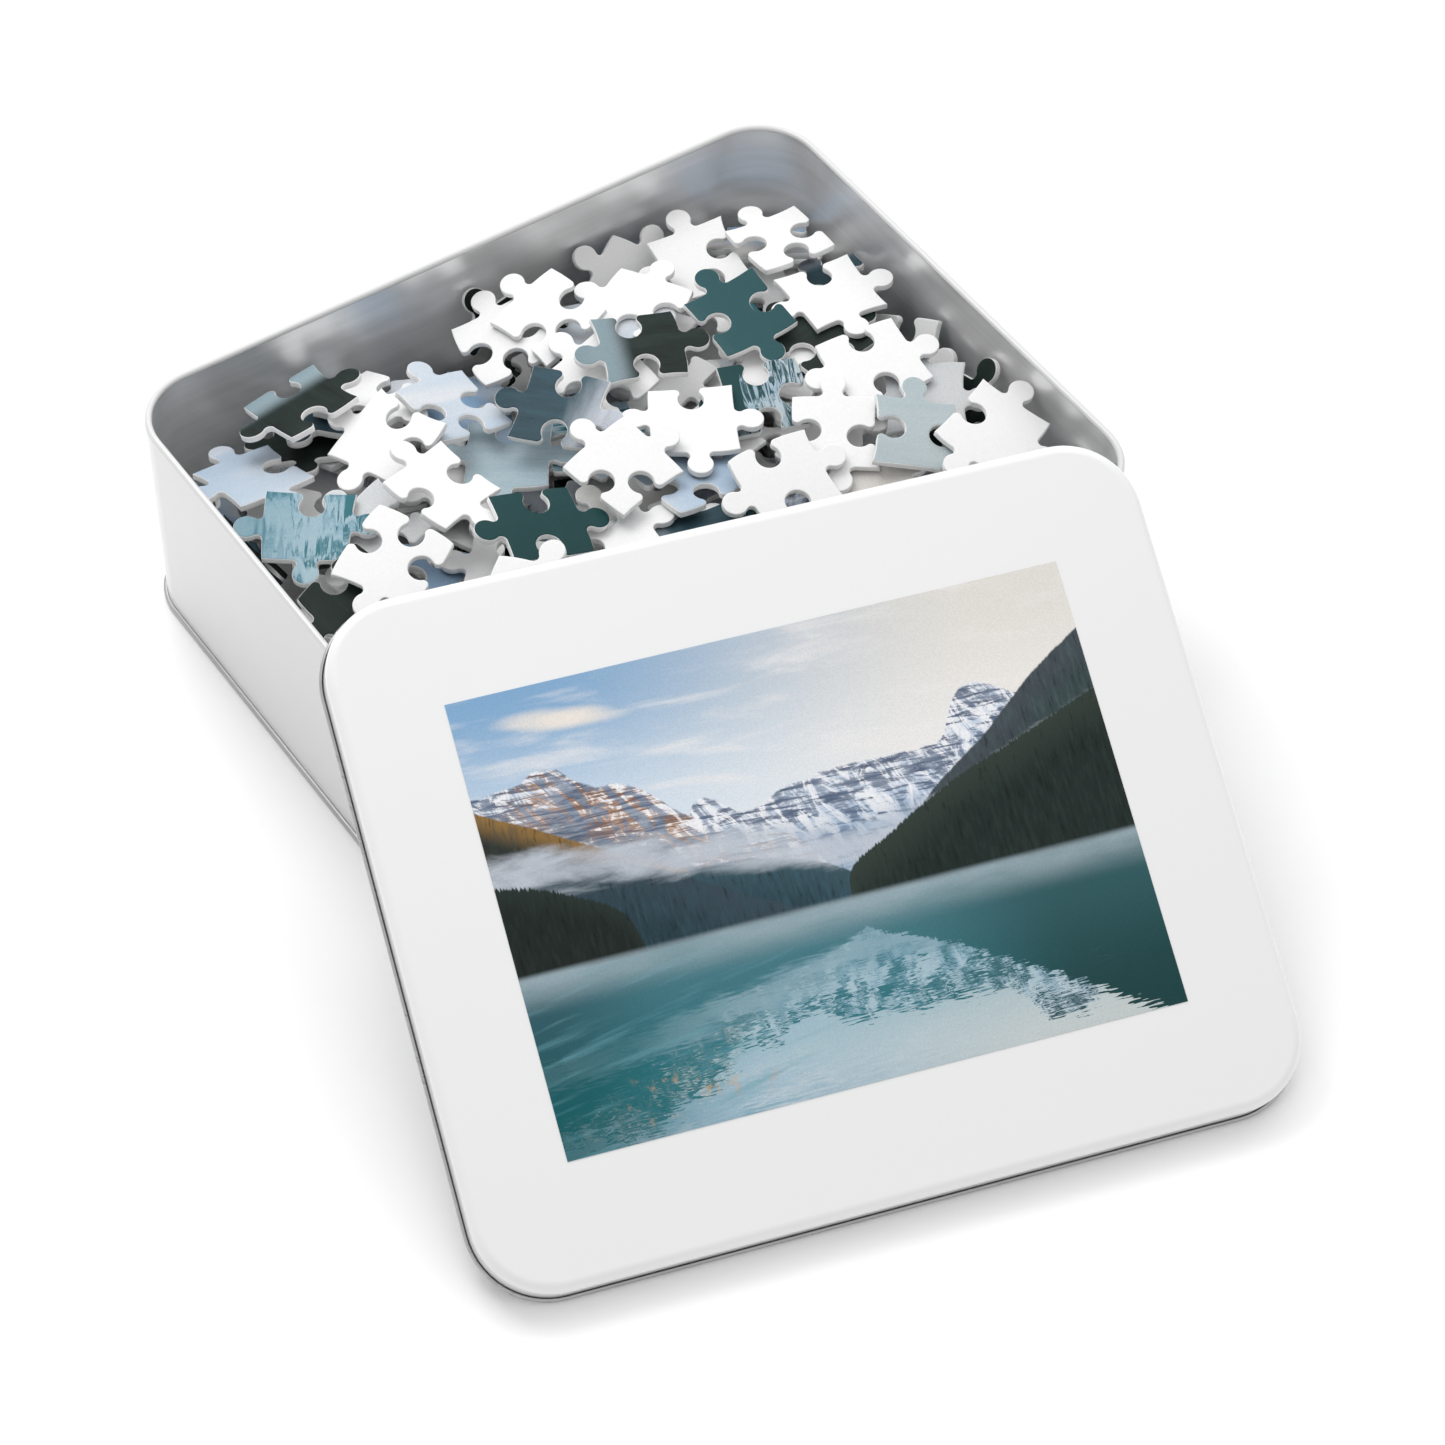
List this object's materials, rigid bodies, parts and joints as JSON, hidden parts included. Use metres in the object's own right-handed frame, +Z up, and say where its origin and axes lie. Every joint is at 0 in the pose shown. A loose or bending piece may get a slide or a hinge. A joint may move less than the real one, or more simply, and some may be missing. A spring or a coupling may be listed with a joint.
{
  "type": "boxed jigsaw puzzle",
  "caption": "Jigsaw puzzle in a rounded rectangular metal tin: a heap of interlocking card pieces, with the picture lid leaning on the tin.",
  "frame": {"origin": "on the floor under the middle of the tin", "axes": "+X along the long side of the tin, +Y to its back (away from the leaning lid), +Z up"},
  "size_m": [0.233, 0.2876, 0.0828],
  "materials": {
    "bare_tinplate": "satin",
    "card_back": "matte",
    "card_mixed": "matte",
    "lid_lacquer": "gloss",
    "print_forest": "satin",
    "print_lake": "satin",
    "print_pale": "satin",
    "print_shore": "satin",
    "print_sky": "satin",
    "print_slate": "satin",
    "printed_picture": "gloss",
    "tin_lacquer": "gloss"
  },
  "bodies": {
    "tin": {"buried_pieces_layer_1": "card_mixed", "buried_pieces_layer_2": "card_mixed", "buried_pieces_layer_3": "card_mixed", "buried_pieces_layer_4": "card_mixed", "piece_r00_c14": "print_shore", "piece_r01_c09": "card_back", "piece_r01_c18": "print_lake", "piece_r02_c05": "card_back", "piece_r02_c07": "card_back", "piece_r02_c14": "card_back", "piece_r02_c18": "print_lake", "piece_r02_c19": "card_back", "piece_r03_c02": "card_back", "piece_r03_c11": "print_lake", "piece_r03_c16": "card_back", "piece_r05_c09": "card_back", "piece_r06_c05": "card_back", "piece_r06_c06": "card_back", "piece_r06_c09": "card_back", "piece_r07_c03": "print_slate", "piece_r07_c08": "print_slate", "piece_r07_c16": "print_forest", "piece_r07_c17": "print_forest", "piece_r07_c20": "print_forest", "piece_r08_c19": "print_forest", "piece_r10_c04": "card_back", "piece_r10_c06": "card_back", "piece_r10_c13": "card_back", "piece_r12_c08": "print_sky", "piece_r12_c09": "print_sky", "piece_r12_c13": "print_pale", "piece_r12_c17": "card_back", "piece_r13_c06": "print_sky", "piece_r13_c08": "print_sky", "piece_r13_c11": "card_back", "piece_r13_c13": "print_pale", "piece_r13_c18": "print_pale", "piece_r14_c01": "print_sky", "piece_r14_c06": "card_back", "tin_base": "bare_tinplate", "tin_wall": "tin_lacquer"},
    "lid": {"lid": "lid_lacquer", "lid_picture": "printed_picture"},
    "piece_r01_c20": {"piece_r01_c20": "print_lake"},
    "piece_r02_c06": {"piece_r02_c06": "card_back"},
    "piece_r03_c06": {"piece_r03_c06": "card_back"},
    "piece_r04_c20": {"piece_r04_c20": "print_lake"},
    "piece_r05_c03": {"piece_r05_c03": "card_back"},
    "piece_r06_c14": {"piece_r06_c14": "print_forest"},
    "piece_r06_c18": {"piece_r06_c18": "print_forest"},
    "piece_r07_c10": {"piece_r07_c10": "print_slate"},
    "piece_r10_c03": {"piece_r10_c03": "card_back"},
    "piece_r12_c15": {"piece_r12_c15": "card_back"},
    "piece_r12_c18": {"piece_r12_c18": "card_back"}
  },
  "joints": [
    {"name": "lid_lift", "type": "slide", "parent": "tin", "child": "lid", "axis": [-0.1327, -0.4566, 0.8797], "range_m": [0, 0.12]},
    {"name": "piece_r01_c20_lift", "type": "slide", "parent": "piece_r12_c15", "child": "piece_r01_c20", "axis": [0, 0, 1], "range_m": [0, 0.06]},
    {"name": "piece_r02_c06_lift", "type": "slide", "parent": "tin", "child": "piece_r02_c06", "axis": [0, 0, 1], "range_m": [0, 0.06]},
    {"name": "piece_r03_c06_lift", "type": "slide", "parent": "tin", "child": "piece_r03_c06", "axis": [0, 0, 1], "range_m": [0, 0.06]},
    {"name": "piece_r04_c20_lift", "type": "slide", "parent": "piece_r02_c06", "child": "piece_r04_c20", "axis": [0, 0, 1], "range_m": [0, 0.06]},
    {"name": "piece_r05_c03_lift", "type": "slide", "parent": "piece_r07_c10", "child": "piece_r05_c03", "axis": [0, 0, 1], "range_m": [0, 0.06]},
    {"name": "piece_r06_c14_lift", "type": "slide", "parent": "tin", "child": "piece_r06_c14", "axis": [0, 0, 1], "range_m": [0, 0.06]},
    {"name": "piece_r06_c18_lift", "type": "slide", "parent": "tin", "child": "piece_r06_c18", "axis": [0, 0, 1], "range_m": [0, 0.06]},
    {"name": "piece_r07_c10_lift", "type": "slide", "parent": "tin", "child": "piece_r07_c10", "axis": [0, 0, 1], "range_m": [0, 0.06]},
    {"name": "piece_r10_c03_lift", "type": "slide", "parent": "tin", "child": "piece_r10_c03", "axis": [0, 0, 1], "range_m": [0, 0.06]},
    {"name": "piece_r12_c15_lift", "type": "slide", "parent": "tin", "child": "piece_r12_c15", "axis": [0, 0, 1], "range_m": [0, 0.06]},
    {"name": "piece_r12_c18_lift", "type": "slide", "parent": "tin", "child": "piece_r12_c18", "axis": [0, 0, 1], "range_m": [0, 0.06]}
  ]
}
